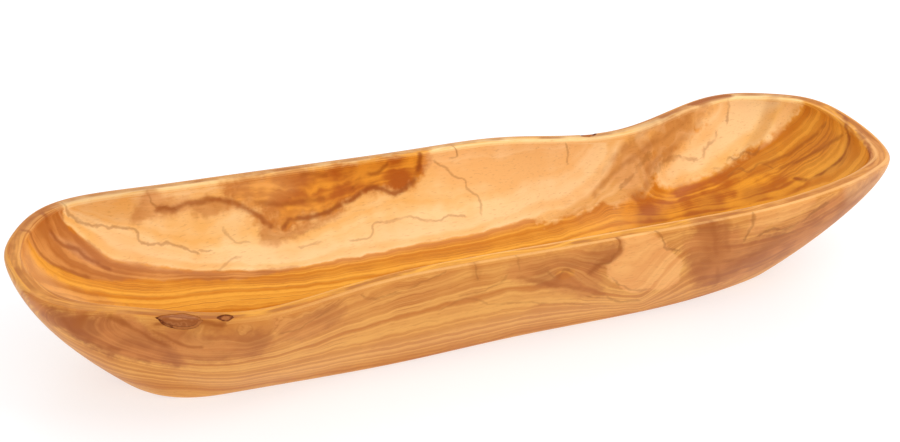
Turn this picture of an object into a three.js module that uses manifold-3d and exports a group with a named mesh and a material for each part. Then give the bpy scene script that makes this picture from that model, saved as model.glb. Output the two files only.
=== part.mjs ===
// A long olive-wood bread bowl, carved from one board whose outline follows the tree's own edge.
// It lies along X with its wide shoulder at -X and its head at +X. The front is -Y and up is +Z.
// The origin is at the middle of its box, on the table. All sizes are in millimetres.
import * as THREE from "three";
import { mergeVertices } from "three/addons/utils/BufferGeometryUtils.js";
import Module from "manifold-3d";

// Driving sizes of the board
const length = 400;
const breadth = 140.4; // across the whole rim, from its widest place in front to its widest behind
const height = 50;

// The rim seen from above: breadths from the centre line, front and back
const frontShoulder = 69;
const frontHollow = 61;
const frontBelly = 66;
const frontHead = 69.5;
const backShoulder = 70;
const backArm = 66; // between the shoulder and the middle
const backMiddle = 55.5;
const backBend = 50.5; // where the back starts to fall in towards the waist
const backWaist = 33.5;
const backHead = 50.5;

// Where those breadths stand, each measured from the nearer end
const frontShoulderAt = 78.5;
const frontHollowAt = 146;
const frontBellyAt = 172;
const frontHeadAt = 87;
const backShoulderAt = 39.5;
const backArmAt = 96.5;
const backMiddleAt = 188;
const backBendAt = 159.5;
const backWaistAt = 108.5;
const backHeadAt = 47.5;

// How far the foot stands in from the rim: at the ends, and along the front and back
const leftRun = 38;
const rightRun = 58;
const frontRun = 22;
const backRun = 26;
const wallFullness = 1.52; // 1 is a straight flare, 2 a full round one

// The carved hollow
const rimWidth = 7;
const shoulderExtra = 2; // the rim is left thicker at the front left corner
const bellyExtra = 1.2; // along the middle of the front
const tipExtra = 1.5; // and at the pointed corner of the head
const floorThickness = 8;
const hollowLeftSlope = 93; // from the inner rim to the level floor, at each end
const hollowRightSlope = 115;
const floorTurn = 3; // how flat the floor stays before it turns up into the wall
const wallSteepness = 1.5; // how upright the wall ends under the rim

// Softened edges
const rimRound = 1.6;
const footRound = 3;
const fairingReach = 7.6; // how far the plane and sander spread each bend of the outline

// The encased knot near the front left corner, and the two pockets of bark, all in the rim.
// Each has its length along the rim, breadth across it, depth down into it, and the place of its
// middle: from the bowl's end, and from the rim's outer edge.
const knotLength = 19;
const knotBreadth = 9.6;
const knotDepth = 5.4;
const knotFromLeft = 49.5;
const knotFromEdge = 2;
const knotBark = 1.3; // the skin of bark between the knot and the bowl
const pitLength = 7;
const pitBreadth = 5.6;
const pitDepth = 4.6;
const pitFromLeft = 64.5;
const pitFromEdge = 3.1;
const waistBarkLength = 8;
const waistBarkBreadth = 4.8;
const waistBarkDepth = 4;
const waistBarkFromRight = 120.5;
const waistBarkFromEdge = 1.8;
const seam = 0.3; // the hairline round each inclusion
const barkSink = 0.6; // bark shrinks more than the wood round it, so it lies a little lower

// How finely the surfaces are cut
const around = 144;
const wallRings = 12;
const hollowRings = 13;
const roundSteps = 3;
const fairingSteps = 4; // neighbours on each side that the fairing weighs in

const left = -length / 2;
const right = length / 2;

// Matching points of the rim and foot, anticlockwise from the left end as seen from above
const stations = [
  // Left end
  { rim: [left + 3, 16.5], foot: [left + leftRun + 2, 0] },
  { rim: [left + 7, -21.5], foot: [left + leftRun + 10, -25], extra: shoulderExtra },
  {
    rim: [left + 34, 24 - frontShoulder],
    foot: [left + leftRun + 26, 10.5 + frontRun - frontShoulder],
    extra: shoulderExtra,
  },
  // Front
  {
    rim: [left + frontShoulderAt, -frontShoulder],
    foot: [left + frontShoulderAt + 11.5, 7.5 + frontRun - frontShoulder],
    extra: shoulderExtra / 2,
  },
  {
    rim: [left + frontHollowAt, -frontHollow],
    foot: [left + frontHollowAt, frontRun - 5.5 - frontHollow],
  },
  {
    rim: [right - frontBellyAt, -frontBelly],
    foot: [right - frontBellyAt - 22, frontRun - 0.5 - frontBelly],
    extra: bellyExtra,
  },
  {
    rim: [right - frontHeadAt, -frontHead],
    foot: [right - frontHeadAt - 35, frontRun - frontHead],
  },
  // Pointed corner and right end
  { rim: [right - 38, 8 - frontHead], foot: [right - rightRun - 18, 6.5 + frontRun - frontHead] },
  { rim: [right - 17.5, 17.5 - frontHead], foot: [right - rightRun - 7, 12.5 + frontRun - frontHead] },
  {
    rim: [right - 7, 24 - frontHead],
    foot: [right - rightRun - 2.5, 22 + frontRun - frontHead],
    extra: tipExtra,
  },
  { rim: [right, -14.5], foot: [right - rightRun, -6], extra: tipExtra },
  { rim: [right - 2, 23], foot: [right - rightRun - 3, 12] },
  { rim: [right - 17.5, backHead - 11], foot: [right - rightRun - 9.5, backHead - backRun - 6.5] },
  {
    rim: [right - backHeadAt, backHead],
    foot: [right - backHeadAt - 38, backHead - backRun - 2],
  },
  // Waist and back
  {
    rim: [right - backWaistAt, backWaist],
    foot: [right - backWaistAt - 7.5, backWaist - backRun + 6],
  },
  {
    rim: [right - backBendAt, backBend],
    foot: [right - backBendAt + 4, backBend - backRun - 2],
  },
  {
    rim: [left + backMiddleAt, backMiddle],
    foot: [left + backMiddleAt + 4, backMiddle - backRun],
  },
  {
    rim: [left + backArmAt, backArm],
    foot: [left + backArmAt + 6, backArm - backRun],
  },
  {
    rim: [left + backShoulderAt, backShoulder],
    foot: [left + backShoulderAt + 24, backShoulder - backRun - 5.5],
  },
  { rim: [left + 11, backShoulder - 27], foot: [left + leftRun + 8.5, backShoulder - backRun - 22] },
];

// Averages each point of a closed row with its neighbours, by weights that fade like a bell curve
function faired(points, reach) {
  const span = points[0].distanceTo(points[1]);
  const steps = Array.from({ length: 2 * fairingSteps + 1 }, (_, i) => i - fairingSteps);
  const weights = steps.map((k) => Math.exp(-0.5 * ((k * span) / reach) ** 2));
  const total = weights.reduce((sum, w) => sum + w);
  return points.map((_, i) => {
    const mean = new THREE.Vector3();
    steps.forEach((k, n) =>
      mean.addScaledVector(points.at((i + k) % points.length), weights[n] / total),
    );
    return mean;
  });
}

// A closed smooth curve through the stations; z carries the rim's width there
function closedCurve(points) {
  return new THREE.CatmullRomCurve3(points, true, "catmullrom", 0.5);
}

// Rim and foot, sampled at matching places that are even along the rim
function outlines() {
  const rimCurve = closedCurve(
    stations.map(({ rim, extra = 0 }) => new THREE.Vector3(...rim, rimWidth + extra)),
  );
  const footCurve = closedCurve(stations.map(({ foot }) => new THREE.Vector3(...foot, 0)));
  rimCurve.arcLengthDivisions = 2000;
  const places = Array.from({ length: around }, (_, i) => rimCurve.getUtoTmapping(i / around));
  const rim = faired(places.map((t) => rimCurve.getPoint(t)), fairingReach);
  const foot = faired(places.map((t) => footCurve.getPoint(t)), fairingReach);
  // Fairing draws the outline in a little, so it is stretched back to the board's full size
  const box = new THREE.Box3().setFromPoints(rim);
  const middle = box.getCenter(new THREE.Vector3()).setZ(0);
  const size = box.getSize(new THREE.Vector3());
  const stretch = new THREE.Vector3(length / size.x, breadth / size.y, 1);
  for (const p of [...rim, ...foot]) p.sub(middle).multiply(stretch);
  return { rim, foot };
}

// The direction out of the outline at each point, level with the table
function outwards(points) {
  return points.map((_, i) => {
    const along = points[(i + 1) % points.length].clone().sub(points.at(i - 1));
    return new THREE.Vector3(along.y, -along.x, 0).normalize();
  });
}

// A ring that lies inside an outline by inset(i), level at z
function insetRing(outline, out, inset, z) {
  return outline.map((p, i) => new THREE.Vector3(p.x, p.y, z).addScaledVector(out[i], -inset(i)));
}

// The outside, from the flat foot up to the rim's rounded outer edge
function outerRings(rim, foot, out) {
  const footOut = outwards(foot);
  const top = height - rimRound;
  const wallPoint = (i, share) => {
    const flare = 1 - (1 - share) ** wallFullness;
    return new THREE.Vector3(foot[i].x, foot[i].y, 0)
      .lerp(new THREE.Vector3(rim[i].x, rim[i].y, 0), flare)
      .setZ(top * share);
  };
  const rings = [];
  const roundTop = (0.8 * footRound) / top;
  for (let k = 0; k < roundSteps; k++) {
    const t = k / roundSteps;
    rings.push(
      foot.map((p, i) => {
        const edge = new THREE.Vector3(p.x, p.y, 0);
        const inside = edge.clone().addScaledVector(footOut[i], -footRound);
        return new THREE.QuadraticBezierCurve3(inside, edge, wallPoint(i, roundTop)).getPoint(t);
      }),
    );
  }
  for (let k = 0; k <= wallRings; k++) {
    const share = roundTop + (1 - roundTop) * (k / wallRings);
    rings.push(rim.map((_, i) => wallPoint(i, share)));
  }
  for (let k = 1; k <= roundSteps; k++) {
    const turn = (k / roundSteps) * (Math.PI / 2);
    const inset = () => rimRound * (1 - Math.cos(turn));
    rings.push(insetRing(rim, out, inset, top + rimRound * Math.sin(turn)));
  }
  return rings;
}

// The hollow, from the rim's rounded inner edge down to the level line along the floor
function innerRings(rim, out) {
  const top = height - rimRound;
  const lip = faired(insetRing(rim, out, (i) => rim[i].z, top), fairingReach);
  const lipOut = outwards(lip);
  const rings = [];
  for (let k = 0; k < roundSteps; k++) {
    const turn = (1 - k / roundSteps) * (Math.PI / 2);
    const inset = () => -rimRound * (1 - Math.cos(turn));
    rings.push(insetRing(lip, lipOut, inset, top + rimRound * Math.sin(turn)));
  }
  const floorLine = lip.map((p) => floorLinePoint(p, lip));
  for (let k = 0; k <= hollowRings; k++) {
    const spread = 1 - 0.93 * (k / hollowRings) ** 1.15;
    const rise = 1 - (1 - spread ** floorTurn) ** (1 / wallSteepness);
    const z = floorThickness + (top - floorThickness) * rise;
    rings.push(lip.map((p, i) => floorLine[i].clone().lerp(p, spread).setZ(z)));
  }
  return rings;
}

// The point of the straight line along the floor that a point of the lip falls towards
function floorLinePoint(p, lip) {
  const box = new THREE.Box3().setFromPoints(lip);
  const start = box.min.x + hollowLeftSlope;
  const end = box.max.x - hollowRightSlope;
  const middleOf = (x) => {
    const near = lip.filter((q) => Math.abs(q.x - x) < 12);
    const ys = near.map((q) => q.y);
    return (Math.min(...ys) + Math.max(...ys)) / 2;
  };
  const share = THREE.MathUtils.smoothstep(p.x, box.min.x, box.max.x);
  const x = THREE.MathUtils.lerp(start, end, share);
  const y = THREE.MathUtils.mapLinear(x, start, end, middleOf(start), middleOf(end));
  return new THREE.Vector3(x, y, 0);
}

// Skins rings that follow each other round a body, and closes the first and the last
function loft(rings) {
  const count = rings[0].length;
  const position = rings.flat().flatMap((p) => [p.x, p.y, p.z]);
  const index = [];
  for (let r = 0; r + 1 < rings.length; r++)
    for (let i = 0; i < count; i++) {
      const j = (i + 1) % count;
      const [a, b, c, d] = [r * count + i, r * count + j, (r + 1) * count + j, (r + 1) * count + i];
      index.push(a, b, c, a, c, d);
    }
  const cap = (ring, offset, flip) => {
    const flat = ring.map((p) => new THREE.Vector2(p.x, p.y));
    for (const [a, b, c] of THREE.ShapeUtils.triangulateShape(flat, []))
      index.push(...(flip ? [a, c, b] : [a, b, c]).map((v) => v + offset));
  };
  cap(rings[0], 0, true);
  cap(rings.at(-1), (rings.length - 1) * count, false);
  return new THREE.BufferGeometry()
    .setAttribute("position", new THREE.Float32BufferAttribute(position, 3))
    .setIndex(index);
}

const wasm = await Module();
wasm.setup();

// A closed three.js geometry as a manifold solid
function solidOf(geometry) {
  const bare = geometry.clone();
  bare.deleteAttribute("normal");
  bare.deleteAttribute("uv");
  const merged = mergeVertices(bare, 1e-4);
  return new wasm.Manifold(
    new wasm.Mesh({
      numProp: 3,
      vertProperties: merged.attributes.position.array,
      triVerts: new Uint32Array(merged.index.array),
    }),
  );
}

// And back again, as a named mesh with its own finish
function meshOf(name, solid, finish) {
  const { vertProperties, triVerts } = solid.getMesh();
  const geometry = new THREE.BufferGeometry()
    .setAttribute("position", new THREE.BufferAttribute(vertProperties, 3))
    .setIndex(new THREE.BufferAttribute(triVerts, 1));
  geometry.computeVertexNormals();
  const mesh = new THREE.Mesh(geometry, new THREE.MeshStandardMaterial(finish));
  mesh.name = name;
  return mesh;
}

const { rim, foot } = outlines();
const out = outwards(rim);
const blank = solidOf(loft([...outerRings(rim, foot, out), ...innerRings(rim, out)]));

// A lens that lies along the rim where the rim passes x, in front (side -1) or behind (+1)
function lensInRim(x, side, size, grow) {
  const next = (i) => (i + 1) % rim.length;
  const passes = (p, q) => Math.sign(p.y) === side && (p.x - x) * (q.x - x) <= 0;
  const i = rim.findIndex((p, k) => passes(p, rim[next(k)]));
  const share = (x - rim[i].x) / (rim[next(i)].x - rim[i].x);
  const away = out[i].clone().lerp(out[next(i)], share);
  const middle = rim[i].clone().lerp(rim[next(i)], share).addScaledVector(away, -size.fromEdge);
  const lens = new THREE.SphereGeometry(0.5, 24, 14);
  lens.scale(size.length + 2 * grow, size.breadth + 2 * grow, size.depth + 2 * grow);
  lens.rotateZ(Math.atan2(away.y, away.x) + Math.PI / 2);
  lens.translate(middle.x, middle.y, height - size.depth / 6);
  return solidOf(lens);
}

const knotSize = {
  length: knotLength,
  breadth: knotBreadth,
  depth: knotDepth,
  fromEdge: knotFromEdge,
};
const pitSize = {
  length: pitLength,
  breadth: pitBreadth,
  depth: pitDepth,
  fromEdge: pitFromEdge,
};
const waistSize = {
  length: waistBarkLength,
  breadth: waistBarkBreadth,
  depth: waistBarkDepth,
  fromEdge: waistBarkFromEdge,
};
const knotLens = (grow) => lensInRim(left + knotFromLeft, -1, knotSize, grow);
const pitLens = (grow) => lensInRim(left + pitFromLeft, -1, pitSize, grow);
const waistLens = (grow) => lensInRim(right - waistBarkFromRight, 1, waistSize, grow);

// Each inclusion is shaped with the bowl's own skin, and bark then sinks a little below it
const sunkInFront = blank.translate(0, barkSink, -barkSink);
const sunkBehind = blank.translate(0, -barkSink, -barkSink);
const bowl = blank
  .subtract(knotLens(knotBark + seam))
  .subtract(pitLens(seam))
  .subtract(waistLens(seam));
const rimKnot = blank.intersect(knotLens(0));
const barkRoundKnot = blank
  .intersect(knotLens(knotBark))
  .subtract(knotLens(seam))
  .intersect(sunkInFront);
const barkInPit = blank.intersect(pitLens(0)).intersect(sunkInFront);
const barkAtWaist = blank.intersect(waistLens(0)).intersect(sunkBehind);

const oiledOlive = { color: 0xd9944a, roughness: 0.42, metalness: 0 };
const knotWood = { color: 0xb5683a, roughness: 0.5, metalness: 0 };
const bark = { color: 0x5c2e16, roughness: 0.85, metalness: 0 };

const breadBowl = new THREE.Group();
breadBowl.add(
  meshOf("carved_bowl", bowl, oiledOlive),
  meshOf("rim_knot", rimKnot, knotWood),
  meshOf("knot_bark", barkRoundKnot, bark),
  meshOf("pit_bark", barkInPit, bark),
  meshOf("waist_bark", barkAtWaist, bark),
);

export default breadBowl;
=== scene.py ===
# %% [markdown]
# # An olive-wood bread bowl
#
# A long bread bowl carved from one thick slab of olive wood. Its outline follows the edge of the
# tree: wide at the left shoulder, drawn in at a waist, and wide again at the head on the right.
# The lesson builds it in the order a wood turner would think about it: the outline, the wall,
# the hollow, the small faults in the rim, and then the figure of the wood itself.
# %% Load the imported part
import math
from functools import partial

import bpy
import numpy as np
from mathutils import Matrix, Vector


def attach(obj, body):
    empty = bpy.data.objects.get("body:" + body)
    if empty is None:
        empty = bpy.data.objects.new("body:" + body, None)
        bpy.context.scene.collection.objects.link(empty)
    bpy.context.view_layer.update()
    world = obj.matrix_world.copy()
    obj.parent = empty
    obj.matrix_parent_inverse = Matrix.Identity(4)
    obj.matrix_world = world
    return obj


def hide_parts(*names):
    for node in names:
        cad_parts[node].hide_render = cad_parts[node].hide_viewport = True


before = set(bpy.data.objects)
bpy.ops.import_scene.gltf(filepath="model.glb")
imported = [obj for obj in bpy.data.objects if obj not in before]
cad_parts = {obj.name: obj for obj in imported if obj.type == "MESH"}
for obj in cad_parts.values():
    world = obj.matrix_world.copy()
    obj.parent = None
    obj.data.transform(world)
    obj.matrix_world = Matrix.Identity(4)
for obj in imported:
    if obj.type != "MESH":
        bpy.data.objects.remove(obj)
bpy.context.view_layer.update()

MM = 0.001
# A distance beyond all others, and a number that keeps a division or a logarithm off zero
far_off, almost_nothing = 1e9, 1e-12


def placed(name, data):
    """A new object with the given data, in the scene."""
    new_object = bpy.data.objects.new(name, data)
    bpy.context.scene.collection.objects.link(new_object)
    return new_object


print("packed nodes:", ", ".join(sorted(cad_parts)))

# %% [markdown]
# ## The camera
#
# The picture is taken from the front left and from above, with a long lens, so the two ends of
# the bowl look almost the same size. The camera comes first, because every later choice about
# how fine a detail has to be depends on how many pixels a millimetre gets.
# %% Camera
photo_width = 900
camera_azimuth = math.radians(-25)
camera_elevation = math.radians(26)
camera_distance = 1.2
looked_at = Vector((0.0058, 0.02455, 0.025))
focal_pixels = 2677
towards_camera = Vector((
    math.sin(camera_azimuth) * math.cos(camera_elevation),
    -math.cos(camera_azimuth) * math.cos(camera_elevation),
    math.sin(camera_elevation),
))
camera_data = bpy.data.cameras.new("camera")
camera_data.sensor_width = 36
camera_data.lens = focal_pixels / photo_width * camera_data.sensor_width
camera = placed("camera", camera_data)
camera.location = looked_at + camera_distance * towards_camera
camera.rotation_euler = towards_camera.to_track_quat("Z", "Y").to_euler()
bpy.context.scene.camera = camera
print(f"lens {camera_data.lens:.1f} mm, {focal_pixels / camera_distance / 1000:.2f} pixels per mm")

# %% [markdown]
# ## The outline of the slab
#
# A carver marks the outline with a few points and joins them by eye. Here twenty matching points
# of the rim and the foot, seen from above, are joined by a cardinal spline, which passes through
# each of them. The row is then faired, as a plane and sander would, by averaging each point with
# its neighbours. The same points drive the solid part, so both have one shape.
# %% Points of the rim and the foot
length, breadth, height = 400, 140.4, 50
rim_width = 7
# Rim x, rim y, foot x, foot y, and how much wider than 7 mm the rim is left there, all in mm
outline_points = np.array([
    (-197, 16.5, -160, 0, 0),  # left end
    (-193, -21.5, -152, -25, 2),
    (-166, -45, -136, -36.5, 2),
    (-121.5, -69, -110, -39.5, 1),  # front shoulder
    (-54, -61, -54, -44.5, 0),
    (28, -66, 6, -44.5, 1.2),  # front belly
    (113, -69.5, 78, -47.5, 0),
    (162, -61.5, 124, -41, 0),
    (182.5, -52, 135, -35, 0),
    (193, -45.5, 139.5, -25.5, 1.5),  # pointed corner
    (200, -14.5, 142, -6, 1.5),
    (198, 23, 139, 12, 0),
    (182.5, 39.5, 132.5, 18, 0),
    (152.5, 50.5, 114.5, 22.5, 0),  # back of the head
    (91.5, 33.5, 84, 13.5, 0),  # waist
    (40.5, 50.5, 44.5, 22.5, 0),
    (-12, 55.5, -8, 29.5, 0),
    (-103.5, 66, -97.5, 40, 0),
    (-160.5, 70, -136.5, 38.5, 0),  # back shoulder
    (-189, 43, -153.5, 22, 0),
])
print("outline drawn with", len(outline_points), "points")


# %% Even rows through the points
def closed_curve(points, places):
    """Cardinal spline through a closed row: between two points a cubic that starts and ends with
    half of the step from the point before to the point after."""
    count = len(points)
    at = places * count
    first = np.floor(at).astype(int)
    share = (at - first)[:, None]
    before, start, end, after = (points[(first + k) % count] for k in (-1, 0, 1, 2))
    leave, arrive = 0.5 * (end - before), 0.5 * (after - start)
    return (start + leave * share + (3 * (end - start) - 2 * leave - arrive) * share**2
            + (2 * (start - end) + leave + arrive) * share**3)


def even_places(points, count, pieces=8000):
    """Curve places that lie evenly along its length: the running length of a fine polyline,
    read backwards at equal steps."""
    fine = np.linspace(0, 1, pieces + 1)
    dense = closed_curve(points, fine[:-1])
    dense = np.vstack([dense, dense[:1]])
    run = np.r_[0, np.cumsum(np.linalg.norm(np.diff(dense, axis=0), axis=1))]
    return np.interp(np.arange(count) / count * run[-1], run, fine)


def faired(points, reach=7.6, widest=28):
    """Average of each point with its neighbours, weighted by a bell curve of the given reach."""
    step = np.linalg.norm(points[1] - points[0])
    far = int(widest / step)
    offsets = np.arange(-far, far + 1)
    weights = np.exp(-0.5 * (offsets * step / reach) ** 2)
    weights /= weights.sum()
    return sum(w * np.roll(points, -k, axis=0) for k, w in zip(offsets, weights))


def outwards(points):
    """Unit vectors square to a closed row: the step between its two neighbours, turned right."""
    along = np.roll(points, -1, axis=0) - np.roll(points, 1, axis=0)
    out = np.stack([along[:, 1], -along[:, 0]], axis=1)
    return out / np.linalg.norm(out, axis=1, keepdims=True)


around = 680
rim_points = np.c_[outline_points[:, 0:2], rim_width + outline_points[:, 4]]
places = even_places(rim_points, around)
rim_row = faired(closed_curve(rim_points, places))
foot_row = faired(closed_curve(outline_points[:, 2:4], places))
lowest, highest = rim_row[:, :2].min(axis=0), rim_row[:, :2].max(axis=0)
to_size = np.array([length, breadth]) / (highest - lowest)
rim = (rim_row[:, :2] - (lowest + highest) / 2) * to_size
foot = (foot_row - (lowest + highest) / 2) * to_size
rim_widths = rim_row[:, 2:3]
print("rim", np.ptp(rim, axis=0).round(1), "mm, foot", np.ptp(foot, axis=0).round(1), "mm")

# %% [markdown]
# ## The wall and the hollow
#
# The outside flares from the flat foot to the rim and grows steeper on the way up. The hollow falls
# from the rim's inner edge to a level line along the floor. Both are grids: one direction runs
# round the bowl, the other follows the section from the middle of the foot, up the outside, over
# the rim, and down to the floor. One closed skin comes out, as on the real bowl.
# %% Wall, lip and floor line
rim_round, foot_round, floor_height = 1.6, 3, 8
wall_fullness, wall_steepness, floor_turn = 1.52, 1.5, 3
rim_out, foot_out = outwards(rim), outwards(foot)
under_rim = height - rim_round


def at_height(row, z):
    """A level ring: the row's x and y, all at one z."""
    return np.c_[row, np.full(len(row), z)]


def outer_wall(share):
    """Outside at a share of the height: from foot to rim by 1 - (1 - share) to the fullness."""
    flare = 1 - (1 - share) ** wall_fullness
    return at_height(foot + (rim - foot) * flare, under_rim * share)


def middle_line(row, left_slope, right_slope, reach=12):
    """Where each point of a row falls to: x eased between the line's ends, and y straight from
    one end to the other, each midway between the row's points within reach of it."""
    x = row[:, 0]
    start, end = x.min() + left_slope, x.max() - right_slope

    def middle_at(place):
        near = row[np.abs(x - place) < reach, 1]
        return (near.min() + near.max()) / 2

    share = (x - x.min()) / np.ptp(x)
    line_x = start + (end - start) * share**2 * (3 - 2 * share)
    line_y = np.interp(line_x, [start, end], [middle_at(start), middle_at(end)])
    return np.c_[line_x, line_y]


left_slope, right_slope, foot_slope = 93, 115, 60
lip = faired(rim - rim_out * rim_widths)
lip_out = outwards(lip)
floor_line = middle_line(lip, left_slope, right_slope)
foot_line = middle_line(foot, foot_slope, foot_slope)
print("floor line", np.ptp(floor_line[:, 0]).round(), "mm long, foot line",
      np.ptp(foot_line[:, 0]).round(), "mm")


# %% Rings of the skin
def hollow_height(spread):
    """Height of the hollow, flat along the floor line and upright at the lip: its rise is one
    less a root of one less a power of the spread."""
    rise = 1 - (1 - spread**floor_turn) ** (1 / wall_steepness)
    return floor_height + (under_rim - floor_height) * rise


def even_spreads(count, innermost=0.02, reach=52, pieces=4000):
    """Spreads from the lip (1) to the floor line, evenly spaced along a section of the given
    reach: its running length is read backwards at equal steps."""
    fine = np.linspace(0, 1, pieces + 1)
    steps = np.hypot(np.diff(reach * fine), np.diff(hollow_height(fine)))
    run = np.r_[0, np.cumsum(steps)]
    spreads = np.interp(np.linspace(1, innermost, count) * run[-1], run, fine)
    spreads[0] = 1
    return spreads


def quarter(steps):
    """Angles of a quarter turn, without its start."""
    return np.arange(1, steps + 1) / steps * math.pi / 2


foot_rings, edge_rings, wall_rings, round_rings, top_rings, hollow_rings = 13, 6, 41, 5, 4, 67
first_share, innermost_foot = 0.8 * foot_round / under_rim, 0.06
foot_flat = foot - foot_out * foot_round
rings = []
for share in np.linspace(innermost_foot, 1, foot_rings + 1)[:-1]:
    rings.append(at_height(foot_line + (foot_flat - foot_line) * share, 0))
for t in np.arange(edge_rings) / edge_rings:
    edge = (1 - t) ** 2 * at_height(foot_flat, 0) + 2 * t * (1 - t) * at_height(foot, 0)
    rings.append(edge + t**2 * outer_wall(first_share))
for share in np.linspace(first_share, 1, wall_rings):
    rings.append(outer_wall(share))
for turn in quarter(round_rings):
    inset = rim_out * rim_round * (1 - math.cos(turn))
    rings.append(at_height(rim - inset, under_rim + rim_round * math.sin(turn)))
outside_rings = len(rings)
rim_edge, lip_edge = rings[-1], at_height(lip + lip_out * rim_round, height)
for share in np.arange(1, top_rings + 1) / (top_rings + 1):
    rings.append(rim_edge + (lip_edge - rim_edge) * share)
for turn in quarter(round_rings)[::-1]:
    outset = lip_out * rim_round * (1 - math.cos(turn))
    rings.append(at_height(lip + outset, under_rim + rim_round * math.sin(turn)))
for spread in even_spreads(hollow_rings):
    rings.append(at_height(floor_line + (lip - floor_line) * spread, hollow_height(spread)))
skin = np.array(rings)
print("skin:", skin.shape[0], "rings of", skin.shape[1], "points,",
      "lowest", skin.min(axis=(0, 1)).round(1), "highest", skin.max(axis=(0, 1)).round(1))


# %% [markdown]
# ## Pressing the surface flat
#
# The figure of the wood is drawn on a flat map of each side, the way a pattern is cut for leather.
# A UV unwrap would also be flat, but stretched, and cut by seams. Here every section is
# straightened out along the wood: a point is as far from the floor line, or from the foot, as it
# really is when measured up the wall. Distances on the map are then real millimetres of wood, and
# x still runs along the bowl.
# %% Flat maps
def towards(end, start):
    """Unit vectors that point to each place of the first row from its match in the second."""
    return (end - start) / np.linalg.norm(end - start, axis=1, keepdims=True)


def run_along(section_rings):
    """Length of wood from the first ring to each ring, measured along every section."""
    steps = np.linalg.norm(np.diff(section_rings, axis=0), axis=2)
    return np.vstack([np.zeros(steps.shape[1]), np.cumsum(steps, axis=0)])[..., None]


outer, inner = skin[foot_rings:outside_rings], skin[outside_rings - 1:][::-1]
outer_map = np.vstack([skin[:foot_rings, :, :2],
                       outer[0, :, :2] + towards(rim, foot) * run_along(outer)])
inner_map = (inner[0, :, :2] + towards(lip, floor_line) * run_along(inner))[::-1]
print("outside map", outer_map.min(axis=(0, 1)).round(), "to", outer_map.max(axis=(0, 1)).round())
print("inside map", inner_map.min(axis=(0, 1)).round(), "to", inner_map.max(axis=(0, 1)).round())

# %% [markdown]
# ## Growth lines
#
# A board shows its yearly layers as lines. A few of them, drawn on the flat map, steer all
# the rest: a thin-plate surface is laid through their levels, and its level lines are the grain.
# One level is about a millimetre. Inside, level 27 is the edge between the golden floor and the
# pale back; it turns up the diagonal band before the head. The hidden front wall mirrors the back.
# %% Growth lines of the inside and the outside
inside_growth = [
    (6, [(-211, 5), (-184, 31), (-157, 33), (-113, 28), (-52, 16), (20, 10), (96, 10), (126, 8),
        (153, -2), (185, -26), (204, -33), (213, -11)]),
    (10, [(-204, 40), (-176, 38), (-156, 38), (-103, 29), (-41, 19), (-8, 16), (60, 12)]),
    (11, [(77, 13), (98, 14), (128, 12), (150, 3), (168, -4), (191, -15), (206, -12), (211, 2)]),
    (14, [(-198, 51), (-181, 44), (-160, 42), (-110, 34), (-67, 24), (-1, 19), (56, 12)]),
    (16, [(79, 17), (100, 17), (131, 16), (154, 9), (172, 7), (189, 3), (203, 0), (211, 9)]),
    (20, [(-189, 60), (-174, 50), (-149, 45), (-109, 37), (-66, 28), (0, 23), (58, 17), (78, 17)]),
    (21, [(156, 51), (136, 44), (120, 37), (106, 31), (85, 23), (73, 20), (50, 21), (30, 22)]),
    (21, [(102, 21), (134, 21), (152, 19), (168, 18), (185, 16), (199, 15), (210, 19)]),
    (27, [(-177, 73), (-162, 64), (-146, 54), (-134, 51), (-108, 41), (-74, 32), (-46, 29),
        (12, 27), (62, 23), (80, 26), (103, 35), (124, 41), (144, 50)]),
    (27, [(166, 50), (151, 46), (137, 41), (122, 35), (112, 30), (111, 25), (123, 26), (151, 27),
        (164, 29), (186, 28), (201, 28)]),
    (34, [(-152, 67), (-133, 59), (-108, 48), (-62, 39), (-22, 43), (26, 36), (66, 33)]),
    (33, [(122, 30), (137, 35), (147, 38), (159, 42), (173, 48)]),
    (40, [(-174, 75), (-135, 70), (-111, 67), (-80, 59), (-67, 50), (-36, 54), (-3, 57), (42, 49),
        (72, 43)]),
    (47, [(-151, 79), (-108, 77), (-57, 75), (-5, 69), (33, 66), (78, 50)]),
    (-4, [(-204, 8), (-190, 16), (-160, 18), (-110, 12), (-50, 4), (20, 0), (90, -2), (140, -14),
        (175, -36), (200, -42)]),
    (-14, [(-196, -8), (-178, -8), (-150, -12), (-100, -16), (-40, -18), (20, -22), (80, -26),
        (130, -32), (170, -48)]),
    (-30, [(-184, -30), (-162, -38), (-130, -46), (-90, -48), (-30, -48), (30, -50), (90, -52),
        (140, -54), (176, -56)]),
    (-46, [(-160, -62), (-130, -74), (-90, -74), (-40, -74), (0, -76), (50, -76), (100, -74),
        (140, -70)]),
]
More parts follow.
